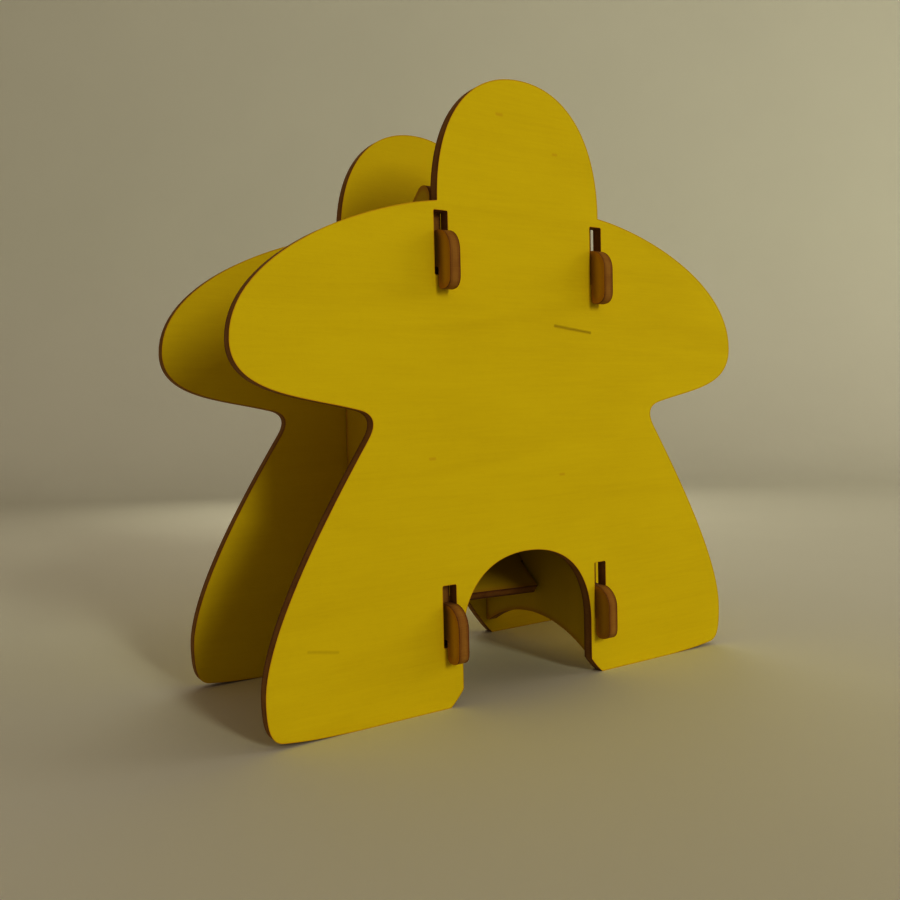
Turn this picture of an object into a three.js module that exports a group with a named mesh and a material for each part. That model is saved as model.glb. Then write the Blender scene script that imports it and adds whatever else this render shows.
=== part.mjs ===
// Meeple-shaped dice tower, cut from plywood sheet and put together without glue or screws.
// Two panels with a meeple outline stand face to face. Two side walls between them end in hooks,
// which pass through slots in the panels and drop behind the slots' lower ends. Three ramps hang
// in the side walls by tabs. Dice go in between the heads, bounce down the ramps and roll out
// through the arch in the front panel. The back panel keeps the pointed crotch of a meeple.
// Millimetres. +X to the right seen from the front, +Y to the back, +Z up. The origin is on the
// table, midway between the panels and on the panels' line of symmetry.
import * as THREE from 'three';

// ---- Sheet, layout and fits ----
const PLY = 4.0;                    // thickness of every piece
const PANEL_GAP = 68.0;             // clear space between the two panels
const SLOT_ROW_X = 33.6;            // centre of each row of slots, from the line of symmetry
const WALL_INSET = 0.5;             // each side wall lies towards the inner side of its slots
const LEFT_WALL_RIDE = 2.3;         // the left wall is pushed home less far than the right one
const FIT = 0.2;                    // clearance of a wall's ends, seats and hooks
const TAB_FIT = 0.35;               // clearance round a ramp's tab in its wall slot
const SIDE_FIT = 0.65;              // clearance between a ramp's long edges and the walls
const CURVE_STEPS = 28;             // straight pieces in each curve of a panel
const CORNER_STEPS = 8;             // straight pieces in each curve of a wall
const SLOT_CORNER = 0.4;            // corner radius of the slots
const SLOT_CORNER_STEPS = 3;

// ---- Meeple outline, right half, as x and z. Each curve is its control points and its end. ----
const ARCH_TOP = [0, 49.9];
const ARCH_SIDE = [19.3, 49.9, 28.6, 37.6, 28.8, 21.0];
const ARCH_FOOT = [28.8, 5.7];
const CROTCH_TOP = [0, 45.0];
const CROTCH_BEND = [2.2, 45.0, 4.2, 42.0];
const CROTCH_FOOT = [23.1, 13.7];
const FRONT_HEEL = [31.0, 2.6, 34.0, 0];
const BACK_HEEL = [29.2, 4.6, 34.0, 0];
const SOLE_END = [66.0, 0];
const SOLE_RISE = [84.0, 0, 94.0, 1.6];
const TOE = [98.4, 2.3, 99.2, 7.5, 99.2, 15.4];
const LEG = [99.2, 34.8, 77.3, 69.4, 62.5, 92.0];
const ARMPIT = [57.9, 99.1, 65.0, 101.2];
const UNDER_ARM = [83.9, 106.0, 106.4, 106.5, 106.4, 122.5];
const SHOULDER = [106.4, 148.6, 61.2, 165.8, 34.9, 169.2];
const HEAD = [34.9, 196.6, 21.5, 213.2, 0, 213.2];

// ---- Slots in the panels, and the hooks that go through them ----
const HOOK_HEIGHT = 19.4;
const NECK_HEIGHT = 12.0;               // part of a hook that lies in its slot
const HOOK_REACH = 7.4;                 // how far a hook stands out of the panel
const HOOK_TOP_RADIUS = 7.2;
const HOOK_BOTTOM_RADIUS = 4.4;
const HOOK_LEAD_IN = { width: 2.0, height: 2.4 };   // eased corner next to the panel
const SLOT = { width: 5.3, height: 21.0, seats: [20.8, 145.0] };

// ---- Side walls, as they sit when pushed home ----
const WALL_BOTTOM = 6.5;
const WALL_TOP = 173.3;
const WALL_FOOT = 1.8;                  // flat at each end of the wall's lower edge
const WALL_ARCH_TOP = 16.0;
const WALL_DIP_Z = 161.3;               // lowest place of the wall's upper edge
const HORN_RADIUS = 4.5;                // outer corner at each end of the upper edge
const HORN_FLAT = 0.7;
const HORN_CONTROL_Y = 25.0;            // how far the curve down from a horn keeps to its top
const DIP_CONTROL_Y = 19.5;             // half the width of the dip's flat middle, as a control

// ---- Ramps: lip is the upper corner of the lower edge, at the right wall ----
const TAB_LENGTH = 16.0;
const RAMPS = [
  { name: 'upper_ramp', rises: 1, lipY: -5.0, lipZ: 117.8, slope: 38.0 },
  { name: 'middle_ramp', rises: -1, lipY: 5.0, lipZ: 67.8, slope: 38.0 },
  { name: 'exit_ramp', rises: 1, lipY: -4.6, lipZ: 27.9, slope: 36.0 },
];

const INNER_FACE = PANEL_GAP / 2;
const OUTER_FACE = INNER_FACE + PLY;
const WALL_X = SLOT_ROW_X - WALL_INSET;
const LEAN = Math.atan(LEFT_WALL_RIDE / (2 * WALL_X));

const stained = new THREE.MeshStandardMaterial({ color: 0xd9b80c, roughness: 0.62, metalness: 0 });

// A shape that is the same on both sides of the line x = 0, from the points of its right half.
function mirroredShape(half) {
  const left = half.slice().reverse().map((p) => new THREE.Vector2(-p.x, p.y));
  const points = [...half, ...left].filter((p, i, all) => i === 0 || p.distanceTo(all[i - 1]) > 1e-4);
  if (points[0].distanceTo(points[points.length - 1]) < 1e-4) {
    points.pop();
  }
  return new THREE.Shape(points);
}

// A slot as the cutter leaves it, with its corners slightly rounded.
function slotPath(cx, cy, width, height, angle = 0) {
  const centre = new THREE.Vector2(cx, cy);
  const x = width / 2 - SLOT_CORNER;
  const y = height / 2 - SLOT_CORNER;
  const path = new THREE.Path();
  [[x, y], [-x, y], [-x, -y], [x, -y]].forEach(([dx, dy], quarter) => {
    const start = quarter * Math.PI / 2;
    path.absarc(cx + dx, cy + dy, SLOT_CORNER, start, start + Math.PI / 2, false);
  });
  const points = path.getPoints(SLOT_CORNER_STEPS);
  return new THREE.Path(points.map((p) => p.rotateAround(centre, angle)));
}

function sheet(shape, steps) {
  const options = { depth: PLY, bevelEnabled: false, curveSegments: steps };
  return new THREE.ExtrudeGeometry(shape, options).translate(0, 0, -PLY / 2);
}

// ---- Panels: the shape's axes are X and Z ----
function startAtArch(path) {
  path.moveTo(...ARCH_TOP);
  path.bezierCurveTo(...ARCH_SIDE);
  path.lineTo(...ARCH_FOOT);
  path.quadraticCurveTo(...FRONT_HEEL);
}

function startAtCrotch(path) {
  path.moveTo(...CROTCH_TOP);
  path.quadraticCurveTo(...CROTCH_BEND);
  path.lineTo(...CROTCH_FOOT);
  path.quadraticCurveTo(...BACK_HEEL);
}

// Half of the outline, from the line of symmetry between the legs to the top of the head.
function meepleHalf(startBetweenLegs) {
  const path = new THREE.Path();
  startBetweenLegs(path);
  path.lineTo(...SOLE_END);
  path.quadraticCurveTo(...SOLE_RISE);
  path.bezierCurveTo(...TOE);
  path.bezierCurveTo(...LEG);
  path.quadraticCurveTo(...ARMPIT);
  path.bezierCurveTo(...UNDER_ARM);
  path.bezierCurveTo(...SHOULDER);
  path.bezierCurveTo(...HEAD);
  return path.getPoints(CURVE_STEPS);
}

function panelGeometry(startBetweenLegs) {
  const shape = mirroredShape(meepleHalf(startBetweenLegs));
  for (const x of [-SLOT_ROW_X, SLOT_ROW_X]) {
    for (const seat of SLOT.seats) {
      shape.holes.push(slotPath(x, seat + SLOT.height / 2, SLOT.width, SLOT.height));
    }
  }
  return sheet(shape, CURVE_STEPS).rotateX(Math.PI / 2);
}

// ---- Side walls: the shape's axes are Y and Z ----
// One hook, going outwards and up the wall's end: under the neck, round the nose and back.
function addHook(path, seat) {
  const under = seat + FIT;
  const top = under + NECK_HEIGHT;
  const bottom = top - HOOK_HEIGHT;
  const inner = OUTER_FACE + FIT;
  const outer = OUTER_FACE + HOOK_REACH;
  path.lineTo(INNER_FACE - FIT, under);
  path.lineTo(inner, under);
  path.lineTo(inner, bottom + HOOK_LEAD_IN.height);
  path.quadraticCurveTo(inner, bottom, inner + HOOK_LEAD_IN.width, bottom);
  path.lineTo(outer - HOOK_BOTTOM_RADIUS, bottom);
  path.quadraticCurveTo(outer, bottom, outer, bottom + HOOK_BOTTOM_RADIUS);
  path.lineTo(outer, top - HOOK_TOP_RADIUS);
  path.absarc(outer - HOOK_TOP_RADIUS, top - HOOK_TOP_RADIUS, HOOK_TOP_RADIUS, 0, Math.PI / 2, false);
  path.lineTo(INNER_FACE - FIT, top);
}

function wallHalf() {
  const end = INNER_FACE - FIT;
  const archHalf = end - WALL_FOOT;
  const rise = WALL_ARCH_TOP - WALL_BOTTOM;
  const radius = (archHalf ** 2 + rise ** 2) / (2 * rise);
  const archCentreZ = WALL_ARCH_TOP - radius;
  const archEnd = Math.atan2(WALL_BOTTOM - archCentreZ, archHalf);
  const hornY = end - HORN_RADIUS;
  const path = new THREE.Path();
  path.moveTo(0, WALL_ARCH_TOP);
  path.absarc(0, archCentreZ, radius, Math.PI / 2, archEnd, true);
  path.lineTo(end, WALL_BOTTOM);
  for (const seat of SLOT.seats) {
    addHook(path, seat);
  }
  path.lineTo(end, WALL_TOP - HORN_RADIUS);
  path.absarc(hornY, WALL_TOP - HORN_RADIUS, HORN_RADIUS, 0, Math.PI / 2, false);
  path.lineTo(hornY - HORN_FLAT, WALL_TOP);
  path.bezierCurveTo(HORN_CONTROL_Y, WALL_TOP, DIP_CONTROL_Y, WALL_DIP_Z, 0, WALL_DIP_Z);
  return path.getPoints(CORNER_STEPS);
}

// Where a ramp's plate has its centre, seen along X: middle of its length and of its thickness.
function rampPlace({ rises, lipY, lipZ, slope }) {
  const angle = THREE.MathUtils.degToRad(slope);
  const cos = Math.cos(angle);
  const sin = Math.sin(angle);
  const length = (INNER_FACE - TAB_FIT - rises * lipY - PLY * sin) / cos;
  const y = lipY + rises * (cos * length / 2 + sin * PLY / 2);
  const z = lipZ + sin * length / 2 - cos * PLY / 2;
  return { angle: rises * angle, length, y, z };
}

function wallGeometry() {
  const shape = mirroredShape(wallHalf());
  for (const ramp of RAMPS) {
    const { angle, y, z } = rampPlace(ramp);
    shape.holes.push(slotPath(y, z, TAB_LENGTH + 2 * TAB_FIT, PLY + 2 * TAB_FIT, angle));
  }
  const yAxis = new THREE.Vector3(0, 1, 0);
  const zAxis = new THREE.Vector3(0, 0, 1);
  const xAxis = new THREE.Vector3(1, 0, 0);
  const standing = new THREE.Matrix4().makeBasis(yAxis, zAxis, xAxis);
  return sheet(shape, CORNER_STEPS).applyMatrix4(standing);
}

// ---- Ramps: the plate lies flat here, its length along Y, with a tab on each side ----
function rampGeometry(length) {
  const side = WALL_X - PLY / 2 - SIDE_FIT;
  const tabEnd = WALL_X + PLY / 2;
  const half = [
    new THREE.Vector2(0, -length / 2),
    new THREE.Vector2(side, -length / 2),
    new THREE.Vector2(side, -TAB_LENGTH / 2),
    new THREE.Vector2(tabEnd, -TAB_LENGTH / 2),
    new THREE.Vector2(tabEnd, TAB_LENGTH / 2),
    new THREE.Vector2(side, TAB_LENGTH / 2),
    new THREE.Vector2(side, length / 2),
    new THREE.Vector2(0, length / 2),
  ];
  return sheet(mirroredShape(half), 1);
}

// ---- Assembly ----
const tower = new THREE.Group();

function add(name, geometry, parent = tower) {
  const mesh = new THREE.Mesh(geometry, stained);
  mesh.name = name;
  parent.add(mesh);
  return mesh;
}

const panelY = INNER_FACE + PLY / 2;
add('front_panel', panelGeometry(startAtArch)).position.y = -panelY;
add('back_panel', panelGeometry(startAtCrotch)).position.y = panelY;

add('left_side_wall', wallGeometry()).position.set(-WALL_X, 0, LEFT_WALL_RIDE);
add('right_side_wall', wallGeometry()).position.set(WALL_X, 0, 0);

for (const ramp of RAMPS) {
  const { angle, length, y, z } = rampPlace(ramp);
  const lean = new THREE.Group();
  lean.position.set(0, y, z + LEFT_WALL_RIDE / 2);
  lean.rotation.y = LEAN;
  tower.add(lean);
  add(ramp.name, rampGeometry(length), lean).rotation.x = angle;
}

export default tower;
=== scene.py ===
# Looks of a meeple-shaped dice tower in laser-cut plywood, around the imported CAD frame.
# Every piece has yellow-stained faces, browned by smoke along the cuts, and scorched edges.
# Metres, in the row frame: +X to the right, +Y to the back, +Z up.
import math

import bpy
from mathutils import Matrix, Vector

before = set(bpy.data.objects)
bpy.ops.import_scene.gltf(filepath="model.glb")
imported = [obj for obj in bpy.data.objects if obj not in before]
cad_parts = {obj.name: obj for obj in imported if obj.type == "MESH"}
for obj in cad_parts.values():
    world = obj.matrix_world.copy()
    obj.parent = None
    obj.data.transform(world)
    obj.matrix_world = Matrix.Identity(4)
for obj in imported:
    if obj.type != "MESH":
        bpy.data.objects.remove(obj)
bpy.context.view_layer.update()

MM = 0.001
ALONG_X = Vector((1, 0, 0))
ALONG_Z = Vector((0, 0, 1))

# ---- Camera: where the photographer stood ----
CAMERA_PLACE = Vector((-191.1, -286.6, 103.4)) * MM
CAMERA_YAW = math.radians(32.60)        # from +Y towards +X
CAMERA_PITCH = math.radians(3.14)       # downwards
CAMERA_ROLL = math.radians(1.38)
CAMERA_LENS = 35.46
SENSOR_WIDTH = 36.0
CLIP_START = 0.01
HEADING = Vector((math.sin(CAMERA_YAW), math.cos(CAMERA_YAW), 0))
SIDEWAYS = Vector((HEADING.y, -HEADING.x, 0))   # to the camera's right, before its roll

# ---- Light: lamps by their place around the tower, their size in metres and their watts ----
LIT_POINT = Vector((0, 0, 100)) * MM    # the middle of the tower, which every lamp faces
LAMPS = {
    "key": {
        "distance": 4.0,
        "azimuth": math.radians(6.0),   # from straight in front towards +X
        "elevation": math.radians(20.5),
        "width": 0.45,
        "height": 1.30,
        "power": 54.0,
        "colour": (0.96, 0.99, 0.86),
    },
    "side": {
        "distance": 1.5,
        "azimuth": math.radians(66.0),
        "elevation": math.radians(17.0),
        "width": 0.60,
        "height": 0.50,
        "power": 3.0,
        "colour": (1.0, 0.96, 0.84),
    },
    "fill": {
        "distance": 0.60,
        "azimuth": math.radians(152.0),
        "elevation": math.radians(22.0),
        "width": 0.50,
        "height": 0.40,
        "power": 0.65,
        "colour": (1.0, 0.95, 0.82),
    },
}
SKY_COLOUR = (0.370, 0.298, 0.250)
DISPLAY_GAMMA = 0.6                     # the photograph's contrast, which also deepens shaded colours

# ---- Stage: a paper floor that curves up into a wall ----
STAGE_HALF_WIDTH = 8.0
BACKDROP_DISTANCE = 1.0
BACKDROP_RADIUS = 0.35
BACKDROP_STEPS = 24                     # flat strips in the curve
BACKDROP_HEIGHT = 2.0
FLOOR_COLOUR = (0.80, 0.815, 0.745)
FLOOR_MOTTLE = 0.96                     # its darkest patches, as a share of its colour
MOTTLE_NOISE = {"scale": (6, 6, 6), "detail": 2.0}
PAPER_NOISE = {"scale": (900, 900, 900)}
PAPER_ROUGHNESS = 0.75
PAPER_RELIEF = 0.01 * MM

# ---- Colours of the finish, each scale from its darkest to its lightest ----
STAIN = {
    "deep": (0.71, 0.570, 0.010),
    "body": (0.78, 0.645, 0.014),
    "light": (0.83, 0.700, 0.020),
}
SCORCH = {
    "deep": (0.20, 0.080, 0.028),
    "body": (0.38, 0.200, 0.046),
    "light": (0.51, 0.310, 0.080),
}
# Brown of smoke near the cuts and round the knots, also used for the painted shade on the walls, ramps and
# hooks
SMOKE_AND_SHADE_BROWN = (0.62, 0.345, 0.035)
SCRATCHED = (0.45, 0.335, 0.012)
SHEEN = 0.12                            # specular level of the matt wood and paper

# ---- Veneer: layers of noise by their waves per metre along, across and through the sheet ----
VENEER_NOISE = {
    "blotch": {"scale": (14, 22, 0), "detail": 2.0},
    "figure": {"scale": (9, 60, 0), "detail": 2.0, "distortion": 1.2},
    "streak": {"scale": (45, 900, 0), "detail": 4.0, "roughness": 0.6},
    "fibre": {"scale": (160, 5200, 0), "detail": 3.0, "roughness": 0.7},
}
VENEER_SHARE = {"blotch": 0.55, "figure": 0.55, "streak": 0.40, "fibre": 0.30}
VENEER_BASE = -0.40                     # the tone to which each layer adds its share
PORE_NOISE = {"scale": (420, 6500, 0), "detail": 1.0}
PORE_EDGE = (0.66, 0.74)                # the noise is a pore above these values
PORE_DARKNESS = 0.35
PORE_DEPTH = 0.5                        # this and the next are shares of the relief
FIBRE_HEIGHT = 0.6
VENEER_RELIEF = 0.03 * MM
VENEER_ROUGHNESS = 0.56
STREAK_ROUGHNESS = 0.16                 # added to it in full on the lightest streaks
SEED_SHIFT = Vector((0.37, 0.61, 0.05))  # from one seed's patch of veneer to the next one's

# ---- Smoke, painted shade, a painted shadow and marks on the faces ----
PANEL_SMOKE = 0.6 * MM                  # how far the smoke reaches in from a cut
INNER_SMOKE = 3.0 * MM
SMOKE_EDGE = (0.50, 0.98)               # share of rays into the wood that meet no cut, from smoked to clean
SMOKE_PATCH_NOISE = {"scale": (120, 120, 0), "detail": 2.0}
SMOKE_PATCHES = (0.8, 0.3)              # how much of the smoke is patchy, and how much is even
SMOKE_SAMPLES = 12
# Painted shade: the walls and ramps stand in the tower's shade, so they are browned all over
WALL_PAINTED_SHADE = 0.22                       # painted shade: how much browner the walls are all over than the panels
RAMP_PAINTED_SHADE = 0.35
HOOK_SMOKE_AND_SHADE = 0.45                       # how much more the hooks and most of each ramp are browned, partly smoke and partly painted shade
HOOK_START = 38.0 * MM                  # the panels' outer faces, from the middle of a wall
HOOK_EDGE = (-1.5 * MM, 0.5 * MM)       # where the hooks' brown sets in, from there
HOOK_PAINTED_SHADOW = 0.7                         # painted shadow, darkest where a hook meets its panel
HOOK_SHADOW_REACH = 5.0 * MM

# Marks on the front panel's face, in millimetres across and up: pin knots with their radius, and
# scratches with their two ends and how dark they are.
KNOTS = [(-9.0, 200.5, 1.0), (15.0, 190.0, 0.8), (-39.0, 84.6, 0.9), (16.0, 76.0, 0.8)]
KNOT_DARKNESS = 0.30
SCRATCHES = [(((13.9, 129.5), (30.4, 127.4)), 1.5), (((-85.0, 28.0), (-75.3, 26.3)), 0.5)]
SCRATCH_WIDTH = 0.90 * MM

# ---- Cut edges: where the plies lie, as shares of half the sheet, and what each adds to the tone ----
PLY_CORE = 0.5                          # half of the sheet is its middle ply
CORE_EDGE = 0.08
CORE_TONE = 0.16
GLUE_WIDTH = 0.07
GLUE_TONE = -0.15
RIM_START = 0.62                        # the outer plies darken from here to the faces
RIM_TONE = -0.40
BURN_SCALE = Vector((140, 140, 270))    # waves per metre, one more along the grain for each seed
BURN_DETAIL = 3.0
BURN_TONE = 0.75
RIDGE_NOISE = {"scale": (2600, 2600, 0), "detail": 2.0}
RIDGE_TONE = 0.35
RIDGE_RELIEF = 0.05 * MM
EDGE_ROUGHNESS = 0.62
RAMP_CHAR = 0.30                        # how much darker the ramps' edges are than the others

# ---- Eased corners ----
RIM_WIDTH = 0.10 * MM
RIM_SEGMENTS = 2
RIM_ANGLE = math.radians(50)            # only corners that turn more than this are eased
WELD_REACH = 0.002 * MM
FACE_COSINE = 0.9                       # a polygon this square to the sheet's thickness is a face
FRONT_OF_SHEETS = Vector((0.3, -1.0, 0.6))  # not along any sheet, so it tells each one's two sides apart


# ---- Shader building ----
class Shader:
    """A material's nodes, wired by plain calls. A value is a number, a tuple or a node's output."""

    def __init__(self, name):
        self.material = bpy.data.materials.new(name)
        self.material.use_nodes = True
        self.tree = self.material.node_tree
        self.principled = next(node for node in self.tree.nodes if node.type == "BSDF_PRINCIPLED")

    def node(self, kind, settings=(), **inputs):
        made = self.tree.nodes.new(kind)
        for key, value in dict(settings).items():
            setattr(made, key, value)
        for key, value in inputs.items():
            self.feed(made.inputs[key], value)
        return made

    def feed(self, socket, value):
        if isinstance(value, bpy.types.NodeSocket):
            self.tree.links.new(value, socket)
        else:
            socket.default_value = value

    def math(self, operation, *values, clamp=False):
        made = self.node("ShaderNodeMath", {"operation": operation, "use_clamp": clamp})
        for socket, value in zip(made.inputs, values):
            self.feed(socket, value)
        return made.outputs[0]

    def summed(self, start, parts):
        """A start value, plus each layer times its share."""
        for layer, share in parts:
            start = self.math("MULTIPLY_ADD", layer, share, start)
        return start

    def vector(self, operation, a, b):
        made = self.node("ShaderNodeVectorMath", {"operation": operation})
        self.feed(made.inputs[0], a)
        self.feed(made.inputs[1], b)
        return made.outputs["Value" if operation in ("DOT_PRODUCT", "DISTANCE") else "Vector"]

    def noise(self, vector, scale, detail=3.0, roughness=0.55, distortion=0.0):
        made = self.node("ShaderNodeTexNoise", Vector=self.vector("MULTIPLY", vector, scale))
        made.inputs["Scale"].default_value = 1.0
        made.inputs["Detail"].default_value = detail
        made.inputs["Roughness"].default_value = roughness
        made.inputs["Distortion"].default_value = distortion
        return made.outputs["Fac"]

    def rise(self, value, low, high):
        """0 below low, 1 above high, smooth between them."""
        made = self.node("ShaderNodeMapRange", {"interpolation_type": "SMOOTHSTEP"}, Value=value)
        made.inputs["From Min"].default_value = low
        made.inputs["From Max"].default_value = high
        return made.outputs["Result"]

    def fall(self, value, low, high):
        """1 below low, 0 above high, smooth between them."""
        return self.math("SUBTRACT", 1.0, self.rise(value, low, high))

    def ramp(self, value, colours):
        """Colours spread evenly over values from 0 to 1."""
        made = self.node("ShaderNodeValToRGB", Fac=value)
        stops = made.color_ramp.elements
        while len(stops) < len(colours):
            stops.new(0.5)
        for i, colour in enumerate(colours):
            stops[i].position = i / (len(colours) - 1)
            stops[i].color = (*colour, 1.0)
        return made.outputs["Color"]

    def blend(self, factor, under, over):
        """The under colour, covered by the over colour to that factor."""
        made = self.node("ShaderNodeMix", {"data_type": "RGBA"})
        self.feed(made.inputs[0], factor)
        for socket, value in ((made.inputs[6], under), (made.inputs[7], over)):
            if isinstance(value, tuple):
                value = (*value, 1.0)
            self.feed(socket, value)
        return made.outputs[2]

    def near_segment(self, at, ends, width):
        """1 on the segment between two points, given in millimetres, fading to 0 at that width."""
        start, end = (Vector((x, y, 0.0)) * MM for x, y in ends)
        along = end - start
        flat = self.vector("MULTIPLY", at, (1, 1, 0))
        offset = self.vector("SUBTRACT", flat, start)
        reach = self.vector("DOT_PRODUCT", offset, along)
        nearest = self.node("ShaderNodeVectorMath", {"operation": "SCALE"})
        nearest.inputs[0].default_value = along
        self.feed(nearest.inputs["Scale"], self.math("DIVIDE", reach, along.length_squared, clamp=True))
        return self.fall(self.vector("DISTANCE", offset, nearest.outputs[0]), 0.0, width)

    def finish(self, colour, roughness, height, relief):
        """Sets the surface: its colour, its roughness and a bump of that relief in metres."""
        bump = self.node("ShaderNodeBump", Height=height)
        bump.inputs["Distance"].default_value = relief
        self.feed(self.principled.inputs["Base Color"], colour)
        self.feed(self.principled.inputs["Roughness"], roughness)
        self.feed(self.principled.inputs["Normal"], bump.outputs["Normal"])
        self.principled.inputs["Specular IOR Level"].default_value = SHEEN
        return self.material


class Plate:
    """How a piece of sheet lies: u along its face grain, v across it, w through its thickness."""

    def __init__(self, node, grain):
        mesh = node.data
        largest = max(mesh.polygons, key=lambda polygon: polygon.area)
        self.w = largest.normal.normalized()
        if self.w.dot(FRONT_OF_SHEETS) < 0:
            self.w = -self.w
        self.u = (grain - grain.dot(self.w) * self.w).normalized()
        self.v = self.w.cross(self.u)
        depths = [vertex.co.dot(self.w) for vertex in mesh.vertices]
        self.thickness = max(depths) - min(depths)
        self.origin = self.w * (max(depths) + min(depths)) / 2

    def place(self, shader):
        """The shading point in the plate's own axes: as a vector, and as its u, v and w."""
        made = shader.node("ShaderNodeMapping", {"vector_type": "TEXTURE"})
        made.inputs["Location"].default_value = self.origin
        turned = Matrix((self.u, self.v, self.w)).transposed().to_euler("XYZ")
        made.inputs["Rotation"].default_value = turned
        source = shader.node("ShaderNodeTexCoord").outputs["Object"]
        shader.feed(made.inputs["Vector"], source)
        at = made.outputs["Vector"]
        return at, shader.node("ShaderNodeSeparateXYZ", Vector=at).outputs


# ---- Layers of a face, from the wood outwards ----
def veneer(shader, spot):
    """Stained grain: its colour, its roughness, its relief and its fibre."""
    layers = {kind: shader.noise(spot, **noise) for kind, noise in VENEER_NOISE.items()}
    tone = shader.summed(VENEER_BASE, [(layers[kind], share) for kind, share in VENEER_SHARE.items()])
    pores = shader.rise(shader.noise(spot, **PORE_NOISE), *PORE_EDGE)
    colour = shader.ramp(tone, STAIN.values())
    colour = shader.blend(shader.math("MULTIPLY", pores, PORE_DARKNESS), colour, STAIN["deep"])
    roughness = shader.math("MULTIPLY_ADD", layers["streak"], STREAK_ROUGHNESS, VENEER_ROUGHNESS)
    sunk = shader.math("MULTIPLY", pores, -PORE_DEPTH)
    height = shader.math("MULTIPLY_ADD", layers["fibre"], FIBRE_HEIGHT, sunk)
    return colour, roughness, height, layers["fibre"]


def marks(shader, at, in_front, fibre, colour):
    """Pin knots and scratches, where in_front is 1."""
    for x, z, radius in KNOTS:
        knot = shader.near_segment(at, ((x - radius, z), (x + radius, z)), radius * MM)
        knot = shader.math("MULTIPLY", knot, in_front)
        colour = shader.blend(shader.math("MULTIPLY", knot, KNOT_DARKNESS), colour, SMOKE_AND_SHADE_BROWN)
    for ends, darkness in SCRATCHES:
        scratch = shader.near_segment(at, ends, SCRATCH_WIDTH)
        scratch = shader.math("MULTIPLY", scratch, shader.math("MULTIPLY", fibre, in_front))
        scratch = shader.math("MULTIPLY", scratch, darkness, clamp=True)
        colour = shader.blend(scratch, colour, SCRATCHED)
    return colour


def browned_and_shaded(shader, across, painted_shade, colour):
    """Painted shade all over a piece, more browning past HOOK_START, and a painted shadow right there.

    On a wall that is its hooks, browned partly by smoke and partly as painted shade, with the painted
    shadow darkest at the panels. A ramp is measured up its slope from where its plane comes nearest the
    origin, so most of each ramp lies past HOOK_START and is browned as much, all of it painted shade.
    """
    # Painted shade: browner all over by the given amount, and more past HOOK_START, partly smoke and partly
    # painted shade
    hook = shader.rise(across, HOOK_START + HOOK_EDGE[0], HOOK_START + HOOK_EDGE[1])
    amount = shader.math("MULTIPLY_ADD", hook, HOOK_SMOKE_AND_SHADE, painted_shade, clamp=True)
    colour = shader.blend(amount, colour, SMOKE_AND_SHADE_BROWN)
    # Painted shadow: darker where each hook meets its panel, fading over HOOK_SHADOW_REACH
    nearness = shader.fall(across, HOOK_START, HOOK_START + HOOK_SHADOW_REACH)
    contact_shadow = shader.math("MULTIPLY", hook, shader.math("MULTIPLY", nearness, HOOK_PAINTED_SHADOW))
    return shader.blend(contact_shadow, colour, SCORCH["deep"])


def smoked(shader, spot, reach, colour):
    """Patchy smoke that reaches in from every cut."""
    settings = {"inside": True, "only_local": True, "samples": SMOKE_SAMPLES}
    inwards = shader.node("ShaderNodeAmbientOcclusion", settings, Distance=reach)
    smoke = shader.fall(inwards.outputs["AO"], *SMOKE_EDGE)
    patchy = shader.math("MULTIPLY_ADD", shader.noise(spot, **SMOKE_PATCH_NOISE), *SMOKE_PATCHES)
    return shader.blend(shader.math("MULTIPLY", smoke, patchy, clamp=True), colour, SMOKE_AND_SHADE_BROWN)


# ---- Materials ----
def face_material(name, plate, seed, smoke_reach, painted_shade, marked):
    """The flat faces: veneer grain under the stain, painted shade on the walls and ramps, and smoke along
    every cut.
    """
    shader = Shader(name)
    at, (_, across, depth) = plate.place(shader)
    spot = shader.vector("ADD", at, seed * SEED_SHIFT)
    colour, roughness, height, fibre = veneer(shader, spot)
    if marked:
        in_front = shader.math("GREATER_THAN", depth, 0.0)
        colour = marks(shader, at, in_front, fibre, colour)
    # Painted shade on the walls and ramps, with a painted shadow where the hooks meet the panels
    if painted_shade:
        colour = browned_and_shaded(shader, shader.math("ABSOLUTE", across), painted_shade, colour)
    colour = smoked(shader, spot, smoke_reach, colour)
    return shader.finish(colour, roughness, height, VENEER_RELIEF)


def edge_material(name, plate, seed, char):
    """The cut edges: scorched plies, with the fine ridges that the cutter leaves through the sheet."""
    shader = Shader(name)
    at, (_, _, depth) = plate.place(shader)
    depth = shader.math("ABSOLUTE", shader.math("DIVIDE", depth, plate.thickness / 2))
    core = shader.fall(depth, PLY_CORE - CORE_EDGE, PLY_CORE + CORE_EDGE)
    from_glue = shader.math("ABSOLUTE", shader.math("SUBTRACT", depth, PLY_CORE))
    glue = shader.fall(from_glue, 0.0, GLUE_WIDTH)
    rim = shader.rise(depth, RIM_START, 1.0)
    burns = shader.noise(at, BURN_SCALE + seed * ALONG_X, BURN_DETAIL)
    ridges = shader.noise(at, **RIDGE_NOISE)
    tone = shader.summed(-char, [
        (burns, BURN_TONE),
        (ridges, RIDGE_TONE),
        (core, CORE_TONE),
        (glue, GLUE_TONE),
        (rim, RIM_TONE),
    ])
    return shader.finish(shader.ramp(tone, SCORCH.values()), EDGE_ROUGHNESS, ridges, RIDGE_RELIEF)


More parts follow.
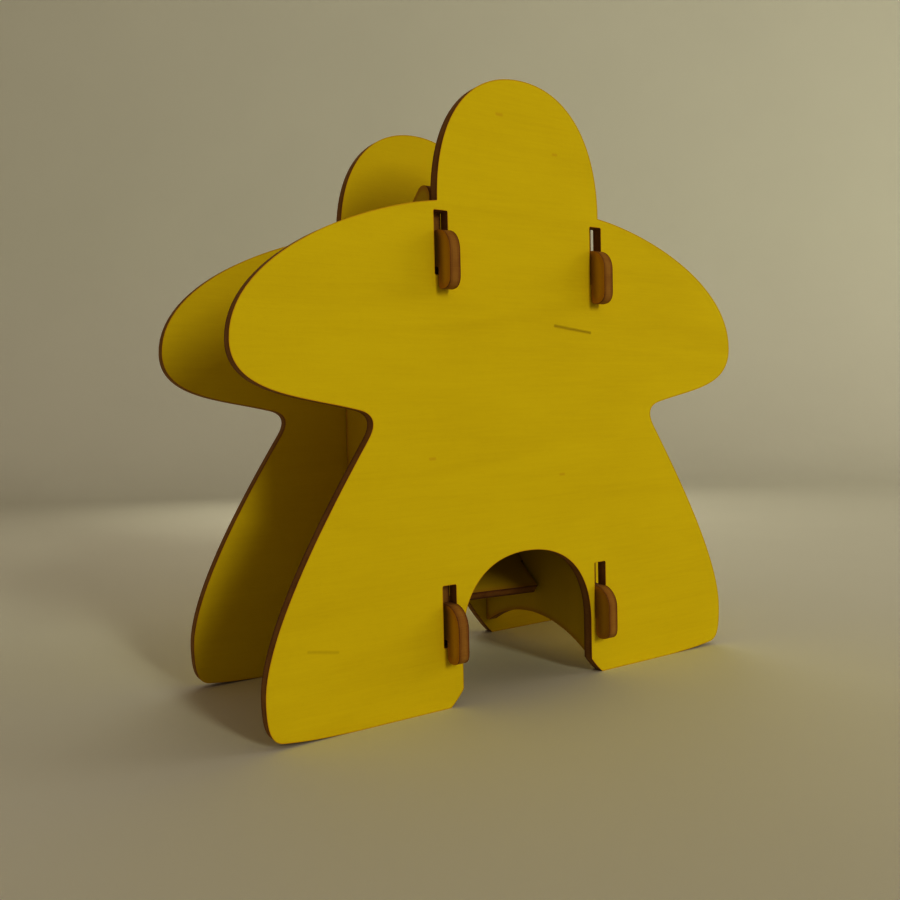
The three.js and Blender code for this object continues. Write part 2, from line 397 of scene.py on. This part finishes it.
# ---- Pieces ----
def dress(name, grain, seed, smoke_reach, painted_shade=0.0, char=0.0, marked=False):
    """Gives a CAD node its materials by face and edge, and eases its cut corners."""
    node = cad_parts[name]
    plate = Plate(node, grain)
    mesh = node.data
    mesh.materials.clear()
    mesh.materials.append(face_material(f"{name}_face", plate, seed, smoke_reach, painted_shade, marked))
    mesh.materials.append(edge_material(f"{name}_edge", plate, seed, char))
    for polygon in mesh.polygons:
        polygon.material_index = 0 if abs(polygon.normal.dot(plate.w)) > FACE_COSINE else 1
        polygon.use_smooth = polygon.material_index == 1
    weld = node.modifiers.new("joined_corners", "WELD")
    weld.merge_threshold = WELD_REACH
    rim = node.modifiers.new("eased_rim", "BEVEL")
    rim.width = RIM_WIDTH
    rim.segments = RIM_SEGMENTS
    rim.limit_method = "ANGLE"
    rim.angle_limit = RIM_ANGLE
    rim.material = 1
    rim.harden_normals = True


dress("front_panel", ALONG_X, 1, PANEL_SMOKE, marked=True)
dress("back_panel", ALONG_X, 2, PANEL_SMOKE)
# The walls and ramps get painted shade: browned all over, as they look in the tower's shade
dress("left_side_wall", ALONG_Z, 3, INNER_SMOKE, WALL_PAINTED_SHADE)
dress("right_side_wall", ALONG_Z, 4, INNER_SMOKE, WALL_PAINTED_SHADE)
dress("upper_ramp", ALONG_X, 5, INNER_SMOKE, RAMP_PAINTED_SHADE, RAMP_CHAR)
dress("middle_ramp", ALONG_X, 6, INNER_SMOKE, RAMP_PAINTED_SHADE, RAMP_CHAR)
dress("exit_ramp", ALONG_X, 7, INNER_SMOKE, RAMP_PAINTED_SHADE, RAMP_CHAR)


# ---- Stage, light and camera ----
def camera_axes():
    """The camera's right, up and backward directions."""
    ahead = HEADING * math.cos(CAMERA_PITCH) - ALONG_Z * math.sin(CAMERA_PITCH)
    down = ahead.cross(SIDEWAYS)
    upright = math.cos(CAMERA_ROLL)
    tilted = math.sin(CAMERA_ROLL)
    return upright * SIDEWAYS + tilted * down, tilted * SIDEWAYS - upright * down, -ahead


def make_camera():
    data = bpy.data.cameras.new("camera")
    data.lens = CAMERA_LENS
    data.sensor_width = SENSOR_WIDTH
    data.clip_start = CLIP_START
    camera = bpy.data.objects.new("camera", data)
    turned = Matrix(camera_axes()).transposed().to_4x4()
    camera.matrix_world = Matrix.Translation(CAMERA_PLACE) @ turned
    bpy.context.scene.collection.objects.link(camera)
    bpy.context.scene.camera = camera


def backdrop_section():
    """The stage from its near end to the wall's top, as distances ahead and heights."""
    section = [(-STAGE_HALF_WIDTH, 0.0)]
    bend = BACKDROP_DISTANCE - BACKDROP_RADIUS
    for i in range(BACKDROP_STEPS + 1):
        angle = math.radians(90 * i / BACKDROP_STEPS)
        ahead = bend + BACKDROP_RADIUS * math.sin(angle)
        section.append((ahead, BACKDROP_RADIUS * (1 - math.cos(angle))))
    section.append((BACKDROP_DISTANCE, BACKDROP_HEIGHT))
    return section


def paper_material():
    shader = Shader("floor_paper")
    at = shader.node("ShaderNodeTexCoord").outputs["Object"]
    darkest = tuple(FLOOR_MOTTLE * part for part in FLOOR_COLOUR)
    colour = shader.ramp(shader.noise(at, **MOTTLE_NOISE), [darkest, FLOOR_COLOUR])
    return shader.finish(colour, PAPER_ROUGHNESS, shader.noise(at, **PAPER_NOISE), PAPER_RELIEF)


def make_backdrop():
    """A pale floor that curves up into a wall behind the object, square to the camera's heading."""
    section = backdrop_section()
    points = []
    for ahead, up in section:
        middle = HEADING * ahead + ALONG_Z * up
        points += [middle - SIDEWAYS * STAGE_HALF_WIDTH, middle + SIDEWAYS * STAGE_HALF_WIDTH]
    faces = [(2 * i, 2 * i + 1, 2 * i + 3, 2 * i + 2) for i in range(len(section) - 1)]
    mesh = bpy.data.meshes.new("backdrop")
    mesh.from_pydata(points, [], faces)
    for polygon in mesh.polygons:
        polygon.use_smooth = True
    mesh.materials.append(paper_material())
    floor = bpy.data.objects.new("backdrop", mesh)
    bpy.context.scene.collection.objects.link(floor)


def make_lamp(name, lamp):
    data = bpy.data.lights.new(name, "AREA")
    data.shape = "RECTANGLE"
    data.size = lamp["width"]
    data.size_y = lamp["height"]
    data.energy = lamp["power"]
    data.color = lamp["colour"]
    towards = Vector((math.sin(lamp["azimuth"]), -math.cos(lamp["azimuth"]), 0))
    away = towards * math.cos(lamp["elevation"]) + ALONG_Z * math.sin(lamp["elevation"])
    made = bpy.data.objects.new(name, data)
    made.location = LIT_POINT + away * lamp["distance"]
    made.rotation_euler = away.to_track_quat("Z", "Y").to_euler()
    made.visible_camera = False
    bpy.context.scene.collection.objects.link(made)


def make_sky():
    world = bpy.data.worlds.new("soft_room")
    world.use_nodes = True
    bpy.context.scene.world = world
    world.node_tree.nodes["Background"].inputs["Color"].default_value = (*SKY_COLOUR, 1.0)


make_camera()
make_backdrop()
make_sky()
for lamp_name, lamp in LAMPS.items():
    make_lamp(lamp_name, lamp)
bpy.context.scene.view_settings.view_transform = "Standard"
bpy.context.scene.view_settings.gamma = DISPLAY_GAMMA
